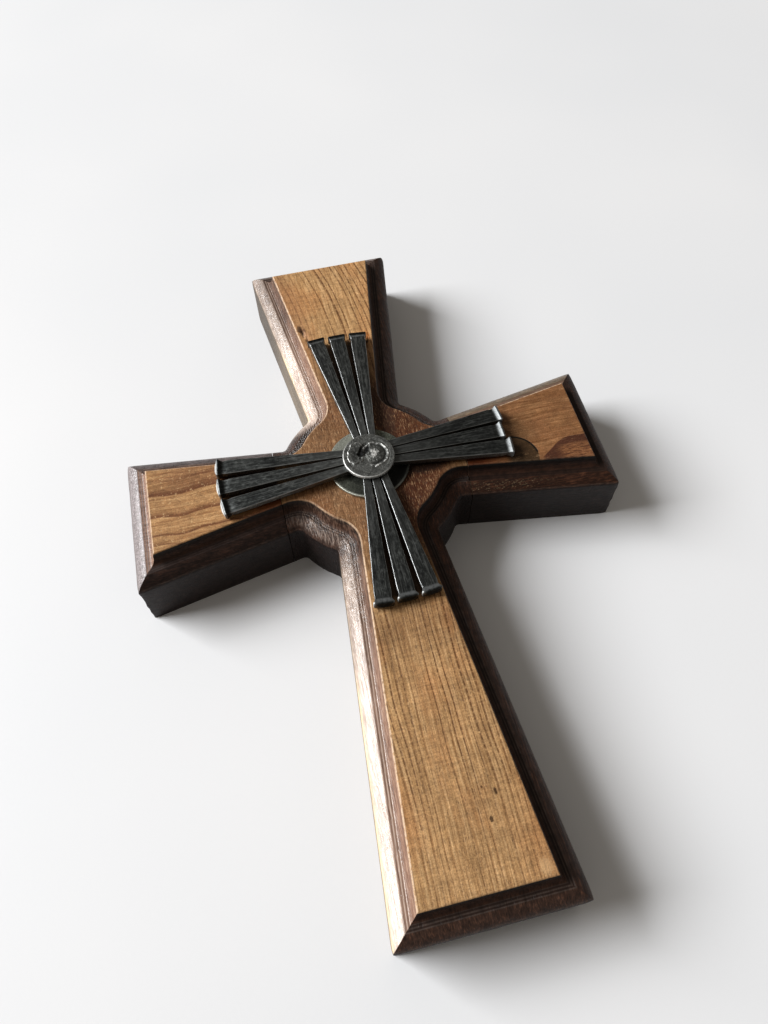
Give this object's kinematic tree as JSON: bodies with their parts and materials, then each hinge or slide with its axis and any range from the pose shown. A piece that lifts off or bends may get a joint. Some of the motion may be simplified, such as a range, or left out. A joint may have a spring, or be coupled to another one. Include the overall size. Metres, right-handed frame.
{
  "type": "wall cross with nails",
  "caption": "Wooden wall cross with a routed edge and a raised field, with fans of black cut nails laid round a small metal medallion.",
  "frame": {"origin": "on the flat back, under the crossing of the arms", "axes": "+Z out of the face, +Y along the top arm, +X along the right arm seen from the front"},
  "size_m": [0.23, 0.3438, 0.046],
  "materials": {
    "stained_wood": "satin varnish, light brown face and dark walnut stained edge",
    "black_metal": "semi-gloss black, worn bright on the edges",
    "worn_metal": "dark grey, hammered, worn bright on the rim"
  },
  "bodies": {
    "root": {"upright_board": "stained_wood", "left_arm": "stained_wood", "right_arm": "stained_wood", "nail_right_1": "black_metal", "nail_right_2": "black_metal", "nail_right_3": "black_metal", "nail_top_1": "black_metal", "nail_top_2": "black_metal", "nail_top_3": "black_metal", "nail_left_1": "black_metal", "nail_left_2": "black_metal", "nail_left_3": "black_metal", "nail_bottom_1": "black_metal", "nail_bottom_2": "black_metal", "nail_bottom_3": "black_metal", "backing_disc": "black_metal", "medallion": "worn_metal"}
  },
  "joints": []
}
